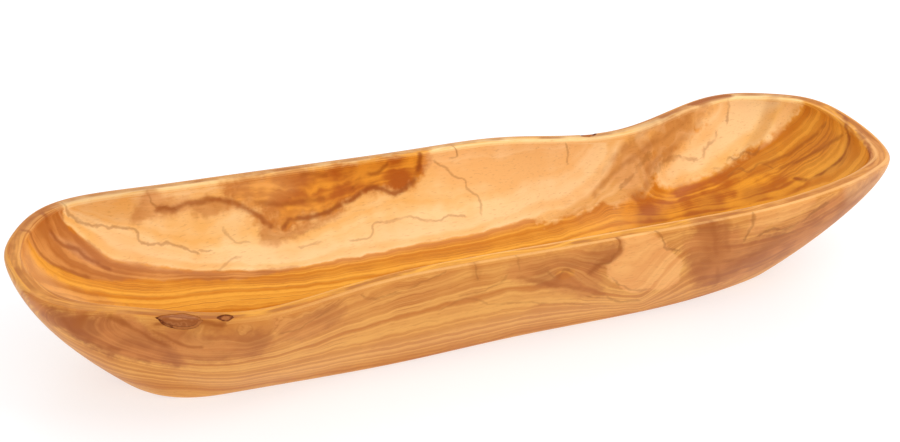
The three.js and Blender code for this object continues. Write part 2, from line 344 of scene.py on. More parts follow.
outside_growth = [
    (-48, [(-200, -47), (-191, -52), (-182, -56), (-166, -62), (-146, -75), (-127, -80),
        (-101, -89), (-72, -91), (-57, -91), (-43, -91), (-24, -91), (-11, -92)]),
    (-32, [(-213, -22), (-194, -35), (-172, -45), (-151, -60), (-124, -73), (-92, -75), (-37, -76),
        (2, -77), (29, -71), (52, -60), (65, -56)]),
    (-18, [(-212, -2), (-203, -17), (-186, -28), (-167, -39), (-147, -51), (-116, -62), (-73, -61),
        (-1, -59), (46, -54), (66, -51)]),
    (-4, [(-190, -4), (-176, -14), (-162, -33), (-143, -43), (-107, -50), (-26, -49), (56, -49),
        (96, -48), (127, -50), (160, -57), (190, -58)]),
    (-38, [(94, -79), (105, -77), (119, -75), (148, -72), (172, -70), (187, -67)]),
    (-24, [(90, -69), (103, -67), (120, -66), (148, -63), (178, -62), (193, -61)]),
    (-12, [(95, -56), (119, -54), (149, -55), (178, -59), (198, -60)]),
    (-33, [(33, -77), (31, -76)]),
    (16, [(-150, -20), (-60, -24), (40, -26), (120, -26), (180, -30), (205, -20)]),
    (40, [(-165, 8), (-60, 6), (40, 2), (120, 0), (190, 4)]),
    (62, [(-172, 36), (-90, 40), (0, 30), (90, 20), (150, 24)]),
    (54, [(-160, 62), (-90, 66), (0, 56), (60, 46), (140, 46)]),
]
print("growth lines:", len(inside_growth), "inside,", len(outside_growth), "outside")


# %% The grain field
def spaced(points, step=12):
    """A row of straight pieces as evenly spaced points, about one step apart."""
    points = np.array(points, float)
    run = np.r_[0, np.cumsum(np.linalg.norm(np.diff(points, axis=0), axis=1))]
    at = np.linspace(0, run[-1], max(int(run[-1] / step), 1) + 1)
    return np.stack([np.interp(at, run, points[:, k]) for k in (0, 1)], axis=1)


def thin_plate(knots, levels, places, stiffness=0.002, unit=100, parts=40):
    """Thin-plate surface: a plane plus a sum of r squared log r round every knot, with weights
    that bring it through the knots' levels. A little stiffness lets it round off tight spots."""
    def kernel(a, b):
        r2 = ((a[:, None] - b[None]) ** 2).sum(axis=2) / unit**2
        return 0.5 * r2 * np.log(r2 + almost_nothing)

    count = len(knots)
    plane = np.c_[np.ones(count), knots]
    system = np.block([[kernel(knots, knots) + stiffness * np.eye(count), plane],
                       [plane.T, np.zeros((3, 3))]])
    weights = np.linalg.solve(system, np.r_[levels, np.zeros(3)])
    out = [kernel(part, knots) @ weights[:count] + np.c_[np.ones(len(part)), part] @ weights[count:]
           for part in np.array_split(places.reshape(-1, 2), parts)]
    return np.concatenate(out).reshape(places.shape[:-1])


def growth(lines, places, rim_places=None, rim_levels=None):
    """The grain field of one side, from its lines and, outside, the levels found on the rim."""
    rows = [spaced(points) for level, points in lines]
    knots = np.vstack(rows)
    levels = np.concatenate([np.full(len(row), level) for row, (level, _) in zip(rows, lines)])
    if rim_places is not None:
        knots = np.vstack([knots, rim_places])
        levels = np.r_[levels, rim_levels]
    return thin_plate(knots, levels, places)


inner_grain = growth(inside_growth, inner_map)
outer_grain = growth(outside_growth, outer_map, outer_map[-1, ::8], inner_grain[0, ::8])
print("grain levels inside", inner_grain.min().round(), "to", inner_grain.max().round(),
      "- outside", outer_grain.min().round(), "to", outer_grain.max().round())


# %% [markdown]
# ## Patches of heartwood, and ink lines
#
# Olive wood is famous for its heart: brown patches with hard, ragged edges on pale wood, and thin
# dark lines that wander like a pen. Patches are outlines on the flat map. Each point of the skin
# gets its distance to the nearest edge, which stays smooth between points, so the shader can draw
# an edge much finer than the mesh. The lines work the same way, by the distance to one side.
# %% Distances to outlines and lines
def segment_offsets(places, start, end):
    """Distance from each place to a straight piece, its side, and how far past an end it lies."""
    piece = end - start
    size = np.hypot(*piece) + almost_nothing
    share = ((places - start) @ piece) / size**2
    past = np.maximum(np.maximum(-share, share - 1), 0) * size
    gap = places - start - np.clip(share, 0, 1)[:, None] * piece
    side = (piece[0] * (places - start)[:, 1] - piece[1] * (places - start)[:, 0]) / size
    return np.hypot(gap[:, 0], gap[:, 1]), side, past


def rounded(points, closed, parts=5):
    """The same row with its corners taken off: a cardinal spline through its points. An open row
    gets one more point at each end, only to steer the curve, which runs from the row's own first
    point to just short of its last."""
    points = np.array(points, float)
    if closed:
        curve = closed_curve(points, np.arange(len(points) * parts) / (len(points) * parts))
        return np.vstack([curve, curve[:1]])
    ends = np.vstack([2 * points[0] - points[1], points, 2 * points[-1] - points[-2]])
    just_short = len(points) - 1.001
    at = 1 + np.linspace(0, just_short, parts * len(points))
    return closed_curve(ends, at / len(ends))


def inside_by(outline, places):
    """Distance to a closed outline, positive inside: crossings of a level ray are counted."""
    curve = rounded(outline, True)
    nearest = np.full(len(places), far_off)
    crossings = np.zeros(len(places), int)
    for start, end in zip(curve[:-1], curve[1:]):
        nearest = np.minimum(nearest, segment_offsets(places, start, end)[0])
        spans = (start[1] > places[:, 1]) != (end[1] > places[:, 1])
        rise = end[1] - start[1] if end[1] != start[1] else almost_nothing
        at = start[0] + (places[:, 1] - start[1]) / rise * (end[0] - start[0])
        crossings += spans & (places[:, 0] < at)
    return np.where(crossings % 2 == 1, nearest, -nearest)


def line_offset(points, places, reach=6, end_fade=1.5, side_fade=2):
    """Distance to an open line, the same with a sign for its side, and how strongly the line is
    there: it fades past its ends, and just inside its reach."""
    curve = rounded(points, False)
    best, offset = np.full((2, len(places)), far_off)
    beyond = np.zeros(len(places))
    for start, end in zip(curve[:-1], curve[1:]):
        gap, side, past = segment_offsets(places, start, end)
        closer = gap < best
        offset = np.where(closer, np.where(side < 0, -gap, gap), offset)
        beyond = np.where(closer, past, beyond)
        best = np.minimum(best, gap)
    there = np.clip(1 - beyond / end_fade, 0, 1) * np.clip((reach - best) / side_fade, 0, 1)
    return best, offset, there


probe = np.array([[5.0, 1.0], [20.0, 0.0]])
print("a line's reach at 1 mm and at 10 mm:", line_offset([(0, 0), (10, 0)], probe)[2])

# %% Patches of the inside: strength, softness in mm, outline; shades: amount, softness, outline
inside_patches = {
    "heart": [
        (0.85, 1.2, [(-203, 58), (-188, 78), (-178, 78), (-170, 68), (-162, 64), (-153, 59),
            (-146, 54), (-134, 51), (-109, 41), (-91, 36), (-65, 32), (-92, 33), (-131, 43),
            (-149, 44), (-162, 44), (-173, 46), (-183, 46), (-193, 48)]),
        (0.6, 2.5, [(-133, 79), (-126, 74), (-107, 71), (-96, 70), (-87, 66), (-77, 60), (-67, 49),
            (-73, 47), (-77, 53), (-80, 58), (-87, 62), (-97, 63), (-104, 63), (-113, 66),
            (-125, 67), (-138, 67)]),
        (0.6, 2.5, [(-78, 53), (-68, 50), (-54, 52), (-39, 54), (-40, 50), (-52, 47), (-66, 45),
            (-76, 45)]),
        (0.5, 2.5, [(88, 29), (104, 37), (122, 41), (142, 48), (158, 56), (168, 53), (151, 46),
            (140, 41), (130, 37), (119, 33), (110, 26), (100, 21), (94, 22)]),
        (0.25, 4, [(56, 22), (74, 26), (92, 32), (100, 26), (96, 18), (80, 17), (66, 19)]),
        (0.6, 3, [(-222, 20), (-214, 42), (-202, 54), (-192, 42), (-174, 37), (-154, 34),
            (-146, 29), (-168, 22), (-184, 8), (-194, -14), (-190, -34), (-204, -42), (-218, -14)]),
        (0.9, 2, [(208, -60), (220, -40), (224, -10), (212, -8), (206, -22), (201, -36), (195, -46),
            (190, -60)]),
        (0.6, 2.5, [(92, -84), (96, -64), (118, -56), (158, -52), (184, -48), (192, -58),
            (162, -74), (120, -84)]),
        (0.45, 3, [(-202, -22), (-196, -42), (-176, -60), (-150, -74), (-138, -64), (-158, -44),
            (-180, -22)]),
    ],
    "rust": [
        (0.95, 3.5, [(-68, 54), (-73, 62), (-66, 70), (-58, 76), (-21, 73), (8, 71), (10, 66),
            (6, 61), (1, 57), (-9, 54), (-16, 56), (-27, 57), (-42, 53), (-57, 53), (-67, 49)]),
        (0.62, 8, [(-98, 78), (-52, 80), (-44, 58), (-62, 50), (-76, 58), (-90, 66)]),
        (0.75, 2.5, [(88, 12), (97, 20), (107, 21), (118, 24), (130, 26), (145, 26), (158, 24),
            (168, 14), (175, 0), (178, -10), (168, -10), (154, -5), (137, -1), (122, 0), (98, 2)]),
        (0.1, 2, [(199, 31), (212, 22), (213, 9), (211, -2), (206, -14), (198, -18), (186, -14),
            (176, -9), (172, 1), (162, 15), (150, 27), (163, 27), (173, 25), (184, 26)]),
    ],
    "pale": [
        (0.95, 3, [(50, 23), (70, 20), (90, 20), (104, 21), (112, 26), (122, 33), (137, 39),
            (151, 43), (172, 46), (176, 62), (150, 68), (118, 62), (90, 62), (64, 50)]),
    ],
}
inside_shades = [
    (-0.5, 4, [(-179, 61), (-172, 59), (-165, 56), (-155, 52), (-157, 55), (-164, 60)]),
    (0.3, 6, [(-173, 80), (-132, 82), (-135, 69), (-152, 67), (-168, 71)]),
    (-0.3, 4, [(98, 24), (112, 32), (128, 38), (140, 42), (130, 44), (112, 38), (98, 32)]),
    (0.35, 5, [(94, 29), (106, 36), (122, 42), (142, 49), (146, 45), (130, 38), (116, 32)]),
    (0.4, 3, [(202, 42), (192, 37), (180, 31), (168, 29), (161, 30), (174, 36), (188, 41)]),
    (-0.6, 3, [(204, 33), (192, 30), (182, 27), (170, 27), (178, 30), (190, 34)]),
    (0.35, 3, [(-203, -30), (-196, -48), (-180, -60), (-150, -72), (-120, -80), (-120, -74),
        (-150, -66), (-180, -54)]),
    (0.35, 6, [(80, 8), (98, 19), (134, 21), (159, 10), (173, -6), (160, -14), (120, -6), (90, 2)]),
    (0.6, 5, [(93, 8), (99, 18), (106, 18), (111, 11), (106, 5), (98, 4)]),
    (0.5, 5, [(124, 7), (131, 17), (139, 17), (140, 8), (133, 4)]),
    (0.5, 3, [(117, 4), (120, 12), (125, 12), (125, 4)]),
    (0.5, 4, [(148, 5), (152, 12), (160, 8), (156, 0)]),
    (0.45, 2.5, [(146, 28), (153, 27), (157, 31), (161, 27), (167, 30), (171, 25), (178, 24),
        (172, 14), (160, 17), (148, 22)]),
    (-0.8, 10, [(-152, 66), (-129, 57), (-107, 48), (-80, 45), (-29, 37), (-22, 42), (26, 35),
        (82, 30), (62, 24), (2, 28), (-46, 30), (-108, 42), (-146, 56)]),
    (-0.6, 8, [(120, 30), (139, 38), (161, 49), (178, 48), (176, 37), (149, 33), (118, 27)]),
    (0.6, 2.5, [(-208, -12), (-203, -22), (-196, -33), (-192, -41), (-198, -36), (-205, -25)]),
    (0.6, 2.5, [(-217, 6), (-216, 16), (-213, 16), (-214, 5)]),
    (0.15, 2.5, [(206, -60), (220, -40), (224, -12), (214, -14), (208, -26), (204, -38),
        (198, -50)]),
    (0.45, 3, [(216, 12), (214, 0), (207, -14), (198, -20), (189, -19), (180, -13), (180, -8),
        (189, -13), (196, -14), (202, -9), (208, 2), (210, 14)]),
    (1.2, 1.5, [(157, 54), (165, 55), (177, 53), (177, 50.5), (165, 51.5), (157, 50.5)]),
    (0.8, 2, [(-164, -69), (-155, -71), (-147, -74), (-147, -80), (-156, -80), (-165, -77)]),
    (0.35, 3, [(100, -80), (130, -79), (160, -68), (185, -56), (192, -62), (165, -78), (130, -90),
        (100, -90)]),
    (0.15, 6, [(-14, 62), (-6, 67), (8, 67), (4, 60), (-8, 55)]),
    (0.35, 4, [(-38, 73), (-16, 71), (-18, 64), (-32, 65)]),
    (0.3, 2.5, [(60, -78), (76, -82), (100, -80), (100, -88), (74, -90), (58, -86)]),
    (-0.5, 9, [(-205, 36), (-197, 44), (-188, 40), (-178, 34), (-165, 28), (-175, 10), (-190, -10),
        (-203, 0), (-209, 15)]),
    (-0.6, 12, [(12, 70), (70, 58), (92, 44), (88, 34), (60, 34), (30, 42), (10, 56)]),
]
print("inside:", {kind: len(rows) for kind, rows in inside_patches.items()}, "patches,",
      len(inside_shades), "shades")

# %% Lines of the inside: darkness, points; two sets of fine ink lines, then broad dark streaks
inside_lines = {
    "first ink": [
        (0.6, [(-175, 77), (-171, 72), (-165, 70), (-157, 68), (-150, 67), (-139, 65), (-135, 63),
            (-134, 60), (-130, 58), (-126, 57), (-118, 55), (-108, 49)]),
        (0.4, [(-89, 43), (-94, 43), (-97, 41), (-101, 40)]),
        (0.5, [(-38, 38), (-29, 37), (-26, 42), (-22, 43), (-15, 42), (-6, 42), (-2, 39), (6, 37),
            (11, 38), (18, 36)]),
        (0.5, [(112, 27), (119, 31), (124, 33), (130, 35), (141, 35)]),
        (0.7, [(25, 68), (24, 63), (21, 63)]),
        (0.5, [(80, 48), (79, 44), (76, 41)]),
        (0.5, [(144, 35), (147, 38), (154, 40), (157, 42)]),
        (0.6, [(146, 29), (151, 28), (156, 31), (158, 28), (164, 30), (167, 26), (171, 28)]),
    ],
    "second ink": [
        (0.4, [(-95, 57), (-93, 53), (-90, 50), (-84, 49)]),
        (0.4, [(-62, 41), (-59, 41), (-52, 41)]),
        (0.5, [(12, 63), (17, 59), (21, 54), (24, 52), (24, 48), (27, 44), (28, 40), (26, 35)]),
        (0.6, [(-134, 78), (-129, 72), (-125, 70), (-118, 69)]),
        (0.6, [(164, 44), (168, 47), (172, 50)]),
        (0.5, [(94, 24), (101, 27), (110, 31), (118, 35)]),
        (0.5, [(150, 23), (157, 24), (160, 20), (167, 21), (170, 15)]),
        (0.5, [(-107, 50), (-104, 49), (-102, 49)]),
        (0.6, [(-120, -52), (-96, -60), (-84, -56), (-66, -64), (-50, -72)]),
        (0.6, [(10, -50), (26, -58), (38, -54), (50, -66), (52, -80)]),
    ],
    "streaks": [
        (0.9, [(-190, 74), (-185, 68), (-179, 62), (-172, 59), (-163, 58), (-156, 54), (-148, 50)]),
        (0.7, [(-199, 55), (-192, 51), (-183, 47), (-173, 46), (-160, 45)]),
        (0.8, [(-127, 70), (-118, 69), (-106, 70), (-94, 68), (-87, 65), (-79, 60), (-73, 53)]),
        (1, [(-67, 51), (-63, 54), (-50, 53), (-42, 54), (-34, 56), (-22, 59), (-11, 54), (-3, 56),
            (1, 58), (4, 63), (6, 69)]),
        (0.6, [(-80, 65), (-68, 62), (-58, 61), (-46, 60)]),
        (0.8, [(-32, 61), (-25, 65), (-18, 65), (-12, 68)]),
        (0.5, [(-56, 73), (-50, 71), (-44, 70)]),
        (0.5, [(99, 21), (108, 25), (113, 30), (120, 33), (130, 37), (138, 41), (152, 47)]),
        (0.45, [(80, 24), (94, 30), (108, 33), (122, 38), (138, 43), (152, 49)]),
        (0.3, [(90, 31), (104, 36), (122, 41), (142, 47)]),
        (1, [(213, 14), (211, 1), (204, -12), (197, -16), (190, -15), (182, -11), (176, -8),
            (173, 0)]),
        (0.6, [(168, 19), (178, 16), (190, 13), (202, 9)]),
        (0.6, [(172, 12), (184, 6), (196, -1), (202, -7)]),
        (0.8, [(209, -14), (206, -27), (202, -38), (196, -48)]),
    ],
}
print("inside:", {kind: len(rows) for kind, rows in inside_lines.items()})

# %% Patches and lines of the outside
outside_patches = {
    "heart": [
        (0.85, 4, [(-224, -4), (-216, -28), (-208, -40), (-199, -52), (-191, -56), (-178, -62),
            (-166, -64), (-160, -54), (-174, -42), (-190, -30), (-204, -22), (-214, -11)]),
        (0.6, 4, [(-177, -65), (-162, -80), (-131, -91), (-120, -86), (-124, -76), (-140, -68),
            (-157, -60), (-169, -59)]),
        (0.45, 3, [(-126, -94), (-111, -94), (-97, -96), (-87, -88), (-98, -81), (-112, -80)]),
        (0.5, 3, [(11, -88), (35, -86), (58, -84), (60, -81), (55, -77), (48, -72), (49, -64),
            (47, -60), (29, -68), (16, -75), (8, -80)]),
        (0.7, 4.5, [(91, -79), (99, -83), (112, -86), (116, -80), (120, -74), (134, -74),
            (142, -71), (157, -74), (179, -71), (200, -66), (198, -58), (160, -54), (127, -50),
            (97, -53), (92, -60), (89, -67), (89, -74)]),
        (0.6, 2.5, [(-88, 94), (-70, 100), (-30, 94), (8, 88), (14, 78), (0, 70), (-24, 72),
            (-50, 66), (-76, 76)]),
        (0.6, 3, [(-206, 66), (-180, 88), (-158, 96), (-148, 82), (-158, 64), (-178, 48),
            (-206, 40)]),
        (0.5, 3, [(98, 58), (112, 72), (130, 84), (152, 90), (166, 86), (150, 66), (128, 50),
            (106, 44)]),
        (0.6, 3, [(176, 74), (200, 62), (216, 34), (222, 0), (208, -12), (196, 10), (184, 34),
            (168, 52)]),
    ],
    "rust": [
        (0.4, 1.5, [(28, -78), (34, -79), (37, -76), (32, -74)]),
    ],
    "pale": [
        (0.8, 1.5, [(65, -85), (62, -81), (54, -77), (52, -73), (53, -68), (57, -63), (63, -60),
            (81, -59), (86, -67), (88, -71), (84, -77), (82, -82), (76, -85)]),
        (0.6, 3, [(-142, 62), (-60, 60), (20, 54), (92, 42), (94, 70), (40, 88), (-20, 94),
            (-80, 100), (-142, 102)]),
        (0.5, 2, [(124, -80), (132, -84), (146, -83), (162, -78), (150, -75), (135, -76),
            (122, -76)]),
    ],
}
outside_shades = [
    (0.8, 3, [(-211, -36), (-207, -36), (-204, -30), (-207, -28)]),
    (0.7, 2, [(-168, -82), (-160, -87), (-152, -90), (-150, -86), (-159, -82), (-166, -79)]),
    (0.5, 3, [(-9, -95), (-5, -95), (-6, -86), (-10, -86)]),
    (-0.25, 12, [(-150, -44), (-60, -52), (60, -50), (80, -56), (-60, -62), (-140, -52)]),
    (0.5, 5, [(92, -75), (105, -78), (115, -69), (113, -55), (96, -56), (88, -66)]),
    (0.5, 4, [(99, -82), (107, -84), (111, -79), (105, -66), (98, -69)]),
    (0.4, 6, [(118, -74), (134, -73), (148, -71), (159, -70), (154, -60), (131, -61), (117, -63)]),
    (-0.5, 5, [(180, -74), (200, -66), (212, -52), (205, -48), (190, -58), (176, -66)]),
    (0.4, 5, [(30, -74), (40, -76), (50, -72), (46, -62), (34, -64)]),
]
outside_lines = {
    "first ink": [
        (0.5, [(-81, -94), (-72, -91), (-57, -91), (-43, -93), (-26, -95)]),
        (0.5, [(26, -79), (29, -76), (34, -78), (37, -76)]),
        (0.7, [(129, -82), (126, -80), (122, -77), (118, -74)]),
        (0.35, [(-31, -75), (-19, -78), (-10, -75), (-4, -70), (10, -67), (28, -61), (49, -55)]),
        (0.5, [(-119, -87), (-110, -87), (-107, -89), (-97, -92)]),
        (0.7, [(83, -86), (82, -80), (81, -78), (87, -76)]),
        (0.5, [(131, -71), (139, -70), (145, -68)]),
        (0.6, [(-136, 92), (-118, 84), (-104, 86), (-90, 76), (-70, 72), (-48, 62)]),
        (0.5, [(30, 82), (38, 74), (34, 68), (46, 60), (60, 58)]),
    ],
    "second ink": [
        (0.8, [(65, -87), (62, -81), (57, -79), (55, -77), (48, -77)]),
        (0.8, [(125, -74), (131, -75), (142, -72), (148, -72), (157, -73), (166, -73)]),
        (0.4, [(-19, -80), (-8, -79), (3, -80), (7, -83)]),
        (0.5, [(54, -69), (56, -66), (61, -62), (70, -60)]),
        (0.5, [(-6, -96), (-8, -90), (-8, -86)]),
        (0.4, [(16, -90), (14, -84)]),
        (0.5, [(50, -60), (56, -56), (65, -55)]),
    ],
    "streaks": [
        (0.8, [(-203, -44), (-195, -49), (-188, -53), (-180, -56), (-171, -60)]),
        (0.7, [(-188, -58), (-178, -62), (-167, -66), (-156, -72)]),
        (0.6, [(-212, -26), (-204, -27), (-196, -32), (-186, -38)]),
        (0.45, [(110, -86), (108, -82), (105, -77), (103, -67), (104, -58), (102, -52)]),
        (0.35, [(117, -86), (115, -82), (110, -77), (109, -71)]),
        (0.8, [(67, -88), (62, -81), (57, -79), (50, -77), (44, -74)]),
        (0.9, [(-188, -57), (-184, -63), (-181, -68)]),
        (0.9, [(-170, -80), (-163, -84), (-156, -87), (-150, -89)]),
        (0.8, [(-10, 90), (-24, 80), (-46, 76), (-70, 84)]),
        (0.5, [(96, -70), (110, -66), (128, -66), (150, -66)]),
        (0.5, [(150, -70), (168, -68), (184, -66), (198, -60)]),
        (0.5, [(12, -80), (20, -76), (30, -71), (42, -66)]),
    ],
}
print("outside:", {kind: len(rows) for kind, rows in outside_patches.items()}, "patches,",
      len(outside_shades), "shades,", {kind: len(rows) for kind, rows in outside_lines.items()})


# %% Fields of the patches
def patch_fields(patches, places, lean=1.5, outermost=-20):
    """For each kind of patch, how deep inside an outline in softnesses, and the strength: an
    average that leans to the deepest patch, so that two which overlap pass into each other."""
    edges, strengths = [], []
    for kind in ("heart", "rust", "pale"):
        depths = np.stack([inside_by(outline, places) / softness
                           for _, softness, outline in patches[kind]])
        amounts = np.array([amount for amount, _, _ in patches[kind]])
        edge = depths.max(axis=0)
        leaning = np.exp(lean * (depths - edge))
        edges.append(np.maximum(edge, outermost))
        strengths.append(amounts @ leaning / leaning.sum(axis=0))
    return np.stack(edges, axis=1), np.stack(strengths, axis=1)


inner_places, outer_places = inner_map.reshape(-1, 2), outer_map.reshape(-1, 2)
inner_edges, inner_strengths = patch_fields(inside_patches, inner_places)
outer_edges, outer_strengths = patch_fields(outside_patches, outer_places)
# The border between the golden floor and the pale back is crisp, but smoky in the head
floor_edge, pale_back = 27, 0.85
waist_x, head_x, crisp, smoky_edge = 60, 110, 1, 0.4
crispness = np.interp(inner_places[:, 0], [waist_x, head_x], [crisp, smoky_edge])
floor_depth = (inner_grain.reshape(-1) - floor_edge) * crispness
inner_edges[:, 2] = np.maximum(inner_edges[:, 2], floor_depth)
inner_strengths[:, 2] = np.maximum(inner_strengths[:, 2], pale_back)
print("deepest inside a patch, in softnesses:", inner_edges.max(axis=0).round(1))


# %% Fields of the lines
def line_fields(layers, places, farthest=20, apart=1, fade=2):
    """For each layer, the offset from its nearest line, and that line's darkness there, which
    fades where a second line is as near, so that one line never runs over into another."""
    offsets, darkness = [], []
    for layer in layers.values():
        nearest, second, offset = np.full((3, len(places)), far_off)
        dark = np.zeros(len(places))
        for amount, points in layer:
            gap, aside, there = line_offset(points, places)
            closer = gap < nearest
            offset = np.where(closer, aside, offset)
            dark = np.where(closer, amount * there, dark)
            second = np.minimum(second, np.maximum(nearest, gap))
            nearest = np.minimum(nearest, gap)
        offsets.append(np.clip(offset, -farthest, farthest))
        darkness.append(dark * np.clip((second - nearest - apart) / fade, 0, 1))
    return np.stack(offsets, axis=1), np.stack(darkness, axis=1)


inner_offsets, inner_dark = line_fields(inside_lines, inner_places)
outer_offsets, outer_dark = line_fields(outside_lines, outer_places)
print("darkest line of each layer:", inner_dark.max(axis=0).round(2))


# %% Guide fields on every point of the skin
def shade_field(shades, places):
    """Sum of soft patches: each grows from nothing at its edge to its amount over its softness."""
    shade = np.zeros(len(places))
    for amount, softness, outline in shades:
        share = np.clip(inside_by(outline, places) / softness + 0.5, 0, 1)
        shade += amount * share**2 * (3 - 2 * share)
    return shade


def joined(outside_part, inside_part):
    """Outer rings up to the rim's edge, then the inner rings after it, as one list of points."""
    inside_rows = inside_part.reshape(inner_map.shape[:2] + inside_part.shape[1:])[1:]
    outside_rows = outside_part.reshape(outer_map.shape[:2] + outside_part.shape[1:])
    rows = np.concatenate([outside_rows, inside_rows])
    return rows.reshape((-1,) + rows.shape[2:])


section_run = run_along(skin)[..., 0]
across_rim = section_run - section_run[outside_rings - 1]
# Painted shade on the back rim: a soft brown band, deepest a little inside its outer edge
rim_shade_depth, rim_shade_at, rim_shade_reach, rim_limit = 0.75, 1.2, 2.4, 40
back_side = np.clip(1.5 * rim_out[:, 1], 0, 1)
painted_rim_shade = rim_shade_depth * np.exp(-((across_rim - rim_shade_at) / rim_shade_reach) ** 2) * back_side
guides = {
    "grain": joined(outer_grain.reshape(-1), inner_grain.reshape(-1)),
    "across_rim": np.clip(across_rim, -rim_limit, rim_limit).reshape(-1),
    "shade": joined(shade_field(outside_shades, outer_places),
                    shade_field(inside_shades, inner_places)) + painted_rim_shade.reshape(-1),
    "patch_edge": joined(outer_edges, inner_edges),
    "patch_strength": joined(outer_strengths, inner_strengths),
    "line_offset": joined(outer_offsets, inner_offsets),
    "line_dark": joined(outer_dark, inner_dark),
}
print("guide fields:", ", ".join(guides))


# %% [markdown]
# ## Skin to mesh
#
# The grid becomes one closed mesh. Each ring is joined to the next by four-sided faces, and both
# poles, under the foot and along the floor line, are closed by rungs like a ladder's. The guide
# fields go along as attributes of its points.
# %% Mesh
def ring_faces(ring_count, count):
    """Four-sided faces between each ring and the next, and ladder rungs that close both poles."""
    ring, i = np.meshgrid(np.arange(ring_count - 1), np.arange(count), indexing="ij")
    j = (i + 1) % count
    sides = np.stack([ring * count + i, ring * count + j,
                      (ring + 1) * count + j, (ring + 1) * count + i], axis=-1).reshape(-1, 4)
    k = np.arange(count // 2 - 1)
    rung = np.stack([k, (-1 - k) % count, (-2 - k) % count, k + 1], axis=1)
    last = (ring_count - 1) * count
    return np.vstack([sides, rung, rung[:, ::-1] + last])


def new_piece(name, points, faces):
    """A smooth mesh object with its place in its points, given in millimetres."""
    mesh = bpy.data.meshes.new(name)
    mesh.from_pydata((np.array(points) * MM).tolist(), [], faces)
    mesh.update()
    mesh.shade_smooth()
    return placed(name, mesh)


def add_guides(mesh, fields):
    """Stores each field on the mesh's points, as single numbers or as rows of three."""
    for field_name, values in fields.items():
        kind = "FLOAT" if values.ndim == 1 else "FLOAT_VECTOR"
        attribute = mesh.attributes.new(field_name, kind, "POINT")
        attribute.data.foreach_set("value" if values.ndim == 1 else "vector",
                                   values.astype(np.float32).ravel())


def points_of(mesh):
    """The mesh's points as rows of millimetres."""
    flat = np.empty(len(mesh.vertices) * 3, np.float32)
    mesh.vertices.foreach_get("co", flat)
    return flat.reshape(-1, 3).astype(float) / MM


blank = new_piece("blank", skin.reshape(-1, 3), ring_faces(*skin.shape[:2]).tolist())
print("blank:", len(blank.data.polygons), "faces")

# %% [markdown]
# ## The knot, and pockets of bark
#
# A small dead branch left a knot in the front rim, wrapped in its own bark, with a bark pit beside
# it; another sliver of bark lies in the rim at the waist. Painted spots would look flat from near
# by, so each is a lens sunk into the rim: the bowl gets a pocket, and the inclusion keeps the part
# of the lens that lies inside the old skin, so its top is the rim's own surface. Lenses are
# spheres whose radius wavers with the angle.
# %% Lenses in the rim
knot = dict(length=16.5, breadth=6, depth=5, pointed=0.45, wobble=0.06,
            at=length / -2 + 48.5, side=-1, from_edge=1.6)
pit = dict(length=7, breadth=5.2, depth=4.6, pointed=0.15, wobble=0.03,
           at=length / -2 + 64.5, side=-1, from_edge=3.1)
waist = dict(length=8, breadth=4.8, depth=4, pointed=0.1, wobble=0.06,
             at=length / 2 - 120.5, side=1, from_edge=1.8)
seam, bark_thickness, bark_sink = 0.1, 1.1, 0.15


def lens(size, grow, rows=26, columns=72):
    """Ellipsoid along the rim: length, breadth and depth plus twice the growth, with a radius
    that wavers by a few sines of the angle and a breadth that narrows towards both ends, turned
    to the rim, set in from its edge, and with its middle a sixth of its depth below the top."""
    same_side = np.sign(rim[:, 1]) == size["side"]
    i = int(np.where(same_side, np.abs(rim[:, 0] - size["at"]), far_off).argmin())
    away = rim_out[i]
    middle = np.r_[rim[i] - away * size["from_edge"], height - size["depth"] / 6]
    down = np.linspace(0, math.pi, rows + 1)[1:-1][:, None]
    turn = np.arange(columns)[None] / columns * 2 * math.pi
    waves = np.sin(3 * turn + 1) + 0.6 * np.sin(7 * turn) + 0.4 * np.sin(11 * turn)
    ragged = 1 + size["wobble"] * waves
    along = (size["length"] / 2 + grow) * np.sin(down) * np.cos(turn) * ragged
    narrowing = 1 - size["pointed"] * np.cos(turn) ** 2
    across = (size["breadth"] / 2 + grow) * np.sin(down) * np.sin(turn) * ragged * narrowing
    up = (size["depth"] / 2 + grow) * np.cos(down) * np.ones_like(turn)
    rim_way = np.array([away[1], -away[0]])
    plan = along[..., None] * rim_way + across[..., None] * away
    grid = np.concatenate([plan, up[..., None]], axis=2) + middle
    poles = middle + np.array([[0, 0, 1], [0, 0, -1]]) * (size["depth"] / 2 + grow)
    count = (rows - 1) * columns
    ring, k = np.meshgrid(np.arange(rows - 2), np.arange(columns), indexing="ij")
    after = (k + 1) % columns
    sides = np.stack([ring * columns + k, (ring + 1) * columns + k,
                      (ring + 1) * columns + after, ring * columns + after], -1).reshape(-1, 4)
    k, after = np.arange(columns), (np.arange(columns) + 1) % columns
    top = np.stack([np.full(columns, count), k, after], axis=1)
    foot_fan = np.stack([np.full(columns, count + 1), after + count - columns,
                         k + count - columns], axis=1)
    faces = sides.tolist() + top.tolist() + foot_fan.tolist()
    return np.vstack([grid.reshape(-1, 3), poles]), faces


print("a lens has", len(lens(knot, 0)[0]), "points")


# %% Pockets and inclusions
def lens_piece(name, *lenses):
    """One hidden cutting object from one or more lenses."""
    points, faces = [], []
    for lens_points, lens_faces in lenses:
        faces += [[len(points) + v for v in face] for face in lens_faces]
        points += lens_points.tolist()
    return new_piece(name, points, faces)


def shifted(name, piece, offset):
    """A copy of a piece with its points moved by an offset in millimetres."""
    mesh = piece.data.copy()
    mesh.transform(Matrix.Translation(Vector(offset) * MM))
    return placed(name, mesh)


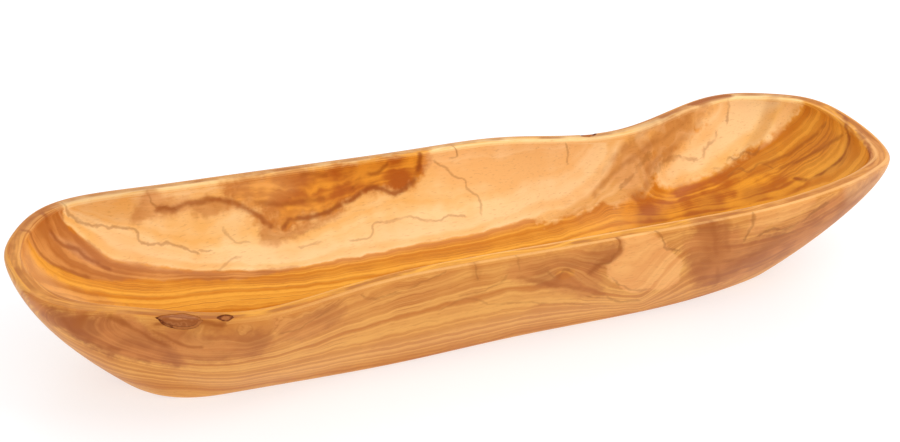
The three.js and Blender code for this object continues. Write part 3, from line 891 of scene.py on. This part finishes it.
def carved(name, start, *cuts, sharp_degrees=40):
    """A new mesh object: the start, then each cut in turn, taken away or kept in common. Edges
    where the surface turns by more than sharp_degrees stay sharp."""
    current = shifted(name, start, (0, 0, 0))
    for operation, cutter in cuts:
        cut = current.modifiers.new("cut", "BOOLEAN")
        cut.operation, cut.solver, cut.object = operation, "EXACT", cutter
        bpy.context.view_layer.update()
        graph = bpy.context.evaluated_depsgraph_get()
        mesh = bpy.data.meshes.new_from_object(current.evaluated_get(graph))
        current.modifiers.clear()
        current.data = mesh
    current.data.name = name
    current.data.shade_smooth()
    current.data.set_sharp_from_angle(angle=math.radians(sharp_degrees))
    return current


# The grain swells round each inclusion, and the wood there is stained darker
blank_grid = skin.reshape(-1, 3)
for size, swell, stain in ((knot, 5, 0.5), (pit, 3, 0.8), (waist, 2, 0.5)):
    middle = lens(size, 0)[0].mean(axis=0)
    nearness = np.exp(-(np.linalg.norm(blank_grid - middle, axis=1) / size["length"] * 2) ** 2)
    guides["grain"] = guides["grain"] + swell * nearness
    guides["shade"] = guides["shade"] + stain * nearness
cutter = lens_piece("pockets", lens(knot, bark_thickness + seam), lens(pit, seam),
                    lens(waist, seam))
bowl = carved("olive_bowl", blank, ("DIFFERENCE", cutter))
front_sunk = shifted("front_sunk", blank, (0, bark_sink, -bark_sink))
back_sunk = shifted("back_sunk", blank, (0, -bark_sink, -bark_sink))
knot_core = lens_piece("knot_core", lens(knot, 0))
knot_hole = lens_piece("knot_hole", lens(knot, seam))
knot_shell = lens_piece("knot_shell", lens(knot, bark_thickness))
pit_lens = lens_piece("pit_lens", lens(pit, 0))
waist_lens = lens_piece("waist_lens", lens(waist, 0))
knot_wood_piece = carved("knot_plug", knot_core, ("INTERSECT", blank))
knot_bark_piece = carved("knot_bark_ring", knot_shell, ("DIFFERENCE", knot_hole),
                         ("INTERSECT", front_sunk))
pit_bark_piece = carved("pit_bark_lump", pit_lens, ("INTERSECT", front_sunk))
waist_bark_piece = carved("waist_bark_sliver", waist_lens, ("INTERSECT", back_sunk))
for helper in (blank, cutter, front_sunk, back_sunk, knot_core, knot_hole, knot_shell, pit_lens,
               waist_lens):
    bpy.data.objects.remove(helper)
for piece in (bowl, knot_wood_piece, knot_bark_piece, pit_bark_piece, waist_bark_piece):
    print(piece.name, len(piece.data.polygons), "faces")


# %% [markdown]
# ## Guides on the cut bowl
#
# Cutting the pockets renumbers the bowl's points and adds new ones round the pockets. Old points
# are found again by their place, and each new one takes the fields of its nearest old neighbour.
# %% Guide fields back on the bowl
def nearest_rows(places, grid_points, reach=4, same=0.02, batch=500):
    """Row of the nearest grid point for each place: exact matches by rounded coordinates, and a
    plain search within reach for the few that have none."""
    def keys(points):
        hundredths = np.round(points * 100).astype(np.int64)
        return hundredths @ np.array([10**10, 10**5, 1])

    grid_keys = keys(grid_points)
    order = np.argsort(grid_keys)
    found = np.searchsorted(grid_keys[order], keys(places)).clip(0, len(order) - 1)
    rows = order[found]
    missing = np.where(np.abs(grid_points[rows] - places).max(axis=1) > same)[0]
    for part in np.array_split(missing, len(missing) // batch + 1):
        low, high = places[part].min(axis=0) - reach, places[part].max(axis=0) + reach
        near = np.where(((grid_points > low) & (grid_points < high)).all(axis=1))[0]
        gaps = ((places[part][:, None] - grid_points[near][None]) ** 2).sum(axis=2)
        rows[part] = near[gaps.argmin(axis=1)]
    print(len(missing), "new points beside", len(places) - len(missing), "old ones")
    return rows


rows = nearest_rows(points_of(bowl.data), blank_grid)
add_guides(bowl.data, {name: values[rows] for name, values in guides.items()})

# Where the tree has healed over the bark: the ring's right and back, and the middle of the pits
points = points_of(knot_bark_piece.data)
right, back, _ = (points - (points.min(axis=0) + points.max(axis=0)) / 2).T
right_reach, back_reach, _ = np.ptp(points, axis=0) / 2
healed = 0.8 * right / right_reach + 0.5 * back / back_reach
add_guides(knot_bark_piece.data, {"healed": healed})
for piece in (pit_bark_piece, waist_bark_piece):
    points = points_of(piece.data)
    right, back, _ = ((points - points.mean(axis=0)) / (np.ptp(points, axis=0) / 2)).T
    add_guides(piece.data, {"healed": 0.65 - 1.2 * np.hypot(right, back)})

# Each piece stands for the node of the imported part that it covers: it joins the root body, and
# the node is hidden. The slot names are listed but not used here
for piece, node, slot_name in (
    (bowl, "carved_bowl", "oiled_olive_wood"),
    (knot_wood_piece, "rim_knot", "knot_wood"),
    (knot_bark_piece, "knot_bark", "bark"),
    (pit_bark_piece, "pit_bark", "bark"),
    (waist_bark_piece, "waist_bark", "bark"),
):
    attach(piece, "root")
    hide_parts(node)


# %% [markdown]
# ## Oiled olive wood
#
# Olea europaea, carved, sanded fine and oiled. The wood is dense and close, so the oil leaves a
# satin film: soft broad highlights and deep warm colour. An image of wood would be blurred near by
# and cut at its seams, so nodes build the colour in the order the eye reads it: the golden ground
# with its stripes, the pale sapwood, the brown heart with hard ragged edges, then the ink lines.
# Every stripe follows the grain field, bent a little by noise.
# %% Node helpers
def linear(hex_colour):
    """An sRGB hex colour as the linear numbers that Blender's nodes work with."""
    parts = [int(hex_colour[k:k + 2], 16) / 255 for k in (1, 3, 5)]
    return [p / 12.92 if p <= 0.04045 else ((p + 0.055) / 1.055) ** 2.4 for p in parts] + [1]


# The setting that the second word of a node's kind is for
choice_of = {"Math": "operation", "VectorMath": "operation", "MapRange": "interpolation_type",
             "Mix": "data_type", "TexNoise": "noise_dimensions", "Mapping": "vector_type",
             "Attribute": "attribute_name"}


def add_node(tree, kind, *values, output=None, **named):
    """Adds a node, such as Math ADD, and gives one of its outputs: the first in use, if none is
    asked for. Values fill the inputs in use from the top, and named ones an input or a setting of
    that name. A value is a number, a row of numbers, a hex colour, or a socket to link."""
    kind, _, choice = kind.partition(" ")
    node = tree.nodes.new("ShaderNode" + kind)
    if choice:
        setattr(node, choice_of[kind], choice)
    filled = list(zip([socket for socket in node.inputs if socket.enabled], values))
    for name, value in named.items():
        if hasattr(node, name):
            setattr(node, name, value)
        else:
            filled.append((node.inputs[name.replace("_", " ")], value))
    for socket, value in filled:
        if isinstance(value, bpy.types.NodeSocket):
            tree.links.new(value, socket)
        else:
            socket.default_value = linear(value) if isinstance(value, str) else value
    if output is not None:
        return node.outputs[output]
    return next((socket for socket in node.outputs if socket.enabled), None)


def new_material(name, *pieces):
    """An empty material on the pieces. Gives the function that adds a node to it, and the place
    on a piece in millimetres."""
    material = bpy.data.materials.new(name)
    material.use_nodes = True
    material.node_tree.nodes.clear()
    for piece in pieces:
        piece.data.materials.clear()
        piece.data.materials.append(material)
    add = partial(add_node, material.node_tree)
    return add, add("VectorMath SCALE", add("TexCoord", output="Object"), 1 / MM)


def finished(add, relief, strength, depth_mm, **shader):
    """Ends a material: a bump as deep as said, the shader with its own values, and the output."""
    bump = add("Bump", Strength=strength, Distance=depth_mm * MM, Height=relief)
    add("OutputMaterial", add("BsdfPrincipled", Normal=bump, **shader))


# A step runs smoothly from 0 at its first number to 1 at its second, also where that is lower
step, times, mix = "MapRange SMOOTHSTEP", "Math MULTIPLY", "Mix RGBA"
print("kinds of node with a choice:", ", ".join(choice_of))


# %% Olive wood: patterns, grain level and stripes
def weighted(add, *terms):
    """Sum of terms, each a value followed by its weight."""
    total = add(times, *terms[:2])
    for value, weight in zip(terms[2::2], terms[3::2]):
        total = add("Math MULTIPLY_ADD", value, weight, total)
    return total


def noise(add, place, size_mm, detail=2, roughness=0.5, shift=0):
    """Noise whose blobs are about size_mm across, as a number from about -0.5 to 0.5. The size is
    one number, or three for blobs that are longer one way."""
    scale = (1 / size_mm * np.ones(3)).tolist()
    moved = add("VectorMath MULTIPLY_ADD", place, scale, [shift] * 3)
    blobs = add("TexNoise 3D", Vector=moved, Scale=1, Detail=detail, Roughness=roughness)
    return add("Math SUBTRACT", blobs, 0.5)


def stripes(add, level, period, shift=0, detail=1):
    """Noise along one direction only: stripes that follow the grain, about a period wide."""
    at = add("Math MULTIPLY_ADD", level, 1 / period, shift)
    return add("TexNoise 1D", W=at, Scale=1, Detail=detail, Roughness=0.5)


add, place = new_material("oiled_olive_wood", bowl)


def guide(name, part=None):
    """A guide field of the skin: a number, or one of a row's three."""
    if part is None:
        return add("Attribute " + name, output="Fac")
    return add("SeparateXYZ", add("Attribute " + name, output="Vector"), output=part)


# Across the rim is 0 at its outer edge, about 5 mm at its inner one, and less than 0 outside
across = guide("across_rim")
in_hollow = add(step, across, -1.5, 1.5)
on_rim = add(times, add(step, across, -2.5, 0.5), add(step, across, 7, 4.5))
broad_bend = noise(add, place, 38, detail=1)
bend = noise(add, place, 13, shift=7)
ripple = noise(add, place, 4.5, shift=3)
ragged = noise(add, place, 1.6, detail=3, shift=11)
cloud = noise(add, place, 16, shift=29)
along_rim = weighted(add, across, 1.4, broad_bend, 16)
level = add("Mix FLOAT", on_rim, guide("grain"), along_rim)
bending = add("Mix FLOAT", in_hollow, 3.6, 2.4)
level = weighted(add, level, 1, broad_bend, 5, bend, bending, ripple, 0.9)

# Growth rings of olive wood are 1 to 3 mm apart, and groups of them make the broader bands
ring_gap, band_gap = 2.4, 7.5
broad = stripes(add, level, band_gap)
narrow = stripes(add, level, ring_gap, shift=40, detail=2)
come_and_go = add(step, noise(add, place, 21, shift=23), -0.14, 0.14)


def tell(layer):
    """Says which layer of the wood is done, and how many nodes it has so far."""
    print(layer, "- so far", len(bowl.active_material.node_tree.nodes), "nodes")


tell("broad and narrow stripes")

# %% Golden ground, tan ground, growth lines
tone = weighted(add, narrow, 0.38, broad, 0.62, cloud, 0.25)
ground = add(step, tone, 0.33, 0.67)
gold = add(mix, ground, "#CB7710", "#F2A93A")
tan = add(mix, ground, "#C37730", "#E5A453")
colour = add(mix, in_hollow, tan, gold)

# Thin dark growth lines run where the narrow stripes cross their middle, and come and go
from_middle = add("Math ABSOLUTE", add("Math SUBTRACT", narrow, 0.5))
thin = add(times, add(step, from_middle, 0.04, 0), come_and_go)
colour = add(mix, add(times, thin, 0.5), colour, "#A8591A")
tell("ground and growth lines")

# %% Pale sapwood, brown heart, rust heart
# The edge of a patch is moved by noise, so it is ragged on a scale of a few millimetres
edge_noise = weighted(add, ripple, 2.2, ragged, 0.9, bend, 2)


def patch(part, low, high):
    """How much of a patch shows here: its ragged edge, times its strength."""
    edge = add("Math ADD", guide("patch_edge", part), edge_noise)
    return add(times, add(step, edge, low, high), guide("patch_strength", part))


pale_tone = add("Math MULTIPLY_ADD", cloud, 1.2, ground, use_clamp=True)
pale_in = add(mix, pale_tone, "#F6BD6A", "#FFD99B")
pale_out = add(mix, pale_tone, "#E69B54", "#F2B068")
colour = add(mix, patch(2, -0.4, 0.8), colour, add(mix, in_hollow, pale_out, pale_in))
streak = add(step, weighted(add, broad, 0.5, narrow, 0.5, cloud, 0.6), 0.34, 0.66)
smoky = add(step, weighted(add, narrow, 0.35, cloud, 1.3, bend, 1), -0.08, 0.44)
heart_in = add(mix, streak, "#B46A2A", "#DC9650")
heart_out = add(mix, smoky, "#9B501F", "#C4763A")
colour = add(mix, patch(0, -0.8, 0.8), colour, add(mix, in_hollow, heart_out, heart_in))
blotches = weighted(add, streak, 0.5, cloud, 0.9, bend, 0.8, ripple, 0.3)
rust = add(mix, add(step, blotches, -0.1, 0.55), "#B05600", "#F0A026")
colour = add(mix, patch(1, -0.8, 0.8), colour, rust)
tell("sapwood, brown heart and rust heart")

# %% The rim: thin dark streaks along its flat, and a painted highlight along both its edges
flat_top = add(times, add(step, across, 0.2, 1.1), add(step, across, 3.6, 2.6))
along_flat = add(step, noise(add, place, 17, detail=3, shift=61), -0.1, 0.15)
rim_streak = add(times, add(times, flat_top, along_flat), 0.8)
colour = add(mix, rim_streak, colour, "#B0661F")
outer_edge, inner_edge = (
    add(step, add("Math ABSOLUTE", add("Math SUBTRACT", across, edge)), 1, 0.3)
    for edge in (-0.5, 4.6)
)
# The painted edge highlight fades out towards the left shoulder and is weaker at the back
past_shoulder = add(step, add("SeparateXYZ", place, output="X"), -140, -40)
at_back = add(step, add("SeparateXYZ", place, output="Y"), 0, 30)
edge_highlight_shows = add(times, past_shoulder, add("Mix FLOAT", at_back, 0.4, 0.12))
# Painted highlight: a paler colour along both rounded edges of the rim, where they catch the light
painted_edge_highlight = add(times, add("Math MAXIMUM", outer_edge, inner_edge), edge_highlight_shows)
colour = add(mix, painted_edge_highlight, colour, "#FFC77E")
tell("rim")

# %% Shades, ink lines and streaks drawn from the lists
shade = weighted(add, guide("shade"), 1, cloud, 0.25)
colour = add(mix, add(times, shade, 0.6, use_clamp=True), colour, "#A65A1C")
colour = add(mix, add(times, shade, -0.5, use_clamp=True), colour, "#FFCB92")


def drawn(part, width, softness, wander_size, wander, shift):
    """A drawn line: as far from its path as the noise moves it, of a width with soft sides."""
    wandering = noise(add, place, wander_size, detail=3, shift=shift)
    moved = weighted(add, guide("line_offset", part), 1, wandering, wander)
    near = add(step, add("Math ABSOLUTE", moved), width / 2 + softness, width / 2)
    fading = add(step, noise(add, place, 8, shift=shift + 5), -0.3, 0)
    return add(times, add(times, near, fading), guide("line_dark", part))


fine_pen = dict(width=0.25, softness=0.8, wander_size=4, wander=3)
both_inks = add("Math MAXIMUM", drawn(0, **fine_pen, shift=31), drawn(1, **fine_pen, shift=43))
ink = add(times, both_inks, 0.75)
colour = add(mix, ink, colour, "#96581F")
streaks = drawn(2, width=0.3, softness=1.9, wander_size=7, wander=3.5, shift=57)
colour = add(mix, add(times, streaks, 0.85), colour, "#9A4E10")
tell("shades, ink lines and streaks")

# %% Pores, relief and the oiled surface
# Close pores, as short dashes along the bowl. Real ones are finer, and would not show
pore_size = np.array([10 / 3, 0.625, 0.625])
pore = add(step, noise(add, place, pore_size, detail=3, roughness=0.6), 0.04, 0.24)
colour = add(mix, add(times, pore, 0.25), colour, "#A0591E")
relief = weighted(add, narrow, 0.6, pore, -0.5)
gloss = add("Math MULTIPLY_ADD", narrow, 0.12, 0.36)
finished(add, relief, strength=0.12, depth_mm=0.3, Base_Color=colour, Roughness=gloss, IOR=1.48,
         Specular_IOR_Level=0.17)
tell("pores and oiled surface")

# %% [markdown]
# ## Knot wood
#
# The knot is the branch's own end grain: redder and darker than the bowl, with rings round its
# middle. A Wave texture could make rings, but too even ones, so they are noise along the distance
# from the middle. A Mapping node moves that middle to the knot and turns it along the rim.
# %% Knot wood material
add, place = new_material("knot_end_grain", knot_wood_piece)
knot_points = points_of(knot_wood_piece.data)
knot_middle = (knot_points.min(axis=0) + knot_points.max(axis=0)) / 2
knot_turn = math.atan2(*np.ptp(knot_points[:, 1::-1], axis=0))
turned = add("Mapping TEXTURE", place, tuple(knot_middle), (0, 0, -knot_turn))
rings_per_mm = (0.12, 2.2, 1.2)
from_middle = add("VectorMath LENGTH", add("VectorMath MULTIPLY", turned, rings_per_mm))
ring_at = weighted(add, from_middle, 1, noise(add, place, 4, detail=3), 2)
rings_tone = add(step, stripes(add, ring_at, 1, detail=2), 0.36, 0.64)
knot_colour = add(mix, rings_tone, "#8A430F", "#BE7A44")
finished(add, rings_tone, strength=0.3, depth_mm=0.3, Base_Color=knot_colour, Roughness=0.45,
         IOR=1.48, Specular_IOR_Level=0.15)
print("knot turned by", round(math.degrees(knot_turn)), "degrees")

# %% [markdown]
# ## Bark
#
# Bark is dry and crumbly, and takes no oil: red brown, rough and deeply pitted, so it is dark and
# dull beside the wood. The tree grew over part of it, so the `healed` field fades it to the colour
# of wood there. That could be a thinner piece instead, but a fading colour keeps the edge soft.
# %% Bark material
add, place = new_material("dry_bark", knot_bark_piece, pit_bark_piece, waist_bark_piece)
crumbs = noise(add, place, 0.9, detail=4, roughness=0.65)
bark_colour = add(mix, add(step, crumbs, -0.15, 0.15), "#5E2A12", "#8A4720")
healed = add("Attribute healed", output="Fac")
healed = weighted(add, healed, 1, noise(add, place, 3, detail=3, shift=2), 1.6)
overgrown = add(times, add(step, healed, -0.35, 0.15), 0.85)
bark_colour = add(mix, overgrown, bark_colour, "#B8703A")
finished(add, crumbs, strength=0.9, depth_mm=0.5, Base_Color=bark_colour, Roughness=0.85,
         IOR=1.45, Specular_IOR_Level=0.1)
print("bark: crumbs of about 0.9 mm, pitted 0.5 mm deep")

# %% [markdown]
# ## The studio
#
# A white table that runs out of the picture, an even white room, and two large soft lights. The
# table glows with its own emission, painted light like milky acrylic lit from below in a packshot
# studio, so the shadow stays very light.
# %% Table and lights
floor_mesh = bpy.data.meshes.new("floor")
half = 4  # metres, far enough to leave the picture on every side
floor_corners = [(-half, -half, 0), (half, -half, 0), (half, half, 0), (-half, half, 0)]
floor_mesh.from_pydata(floor_corners, [], [(0, 1, 2, 3)])
floor = placed("floor", floor_mesh)

white = linear("#FFFFFF")
table_material = bpy.data.materials.new("glowing_white_acrylic")
world = bpy.data.worlds.new("studio")
table_material.use_nodes = world.use_nodes = True
# The emission is painted light: the table glows on its own and lightens the shadow under the bowl
table = {"Base Color": linear("#A6A6A8"), "Roughness": 0.35, "Emission Color": white,
         "Emission Strength": 0.64}
room = {"Color": white, "Strength": 0.9}
for owner, node_name, looks in (
    (table_material, "Principled BSDF", table),
    (world, "Background", room),
):
    for socket_name, value in looks.items():
        owner.node_tree.nodes[node_name].inputs[socket_name].default_value = value
floor_mesh.materials.append(table_material)
bpy.context.scene.world = world
bpy.context.scene.view_settings.view_transform = "Standard"


def soft_box(name, place, size, power):
    """A square studio light that points at the bowl."""
    data = bpy.data.lights.new(name, "AREA")
    data.size = size
    data.energy = power
    light = placed(name, data)
    light.location = place
    light.rotation_euler = Vector(place).to_track_quat("Z", "Y").to_euler()


soft_box("key", place=(0.9, -0.5, 1.3), size=0.9, power=9)
soft_box("fill", place=(-0.6, -1.6, 0.8), size=1.2, power=3)
print("lights:", ", ".join(light.name for light in bpy.data.lights))
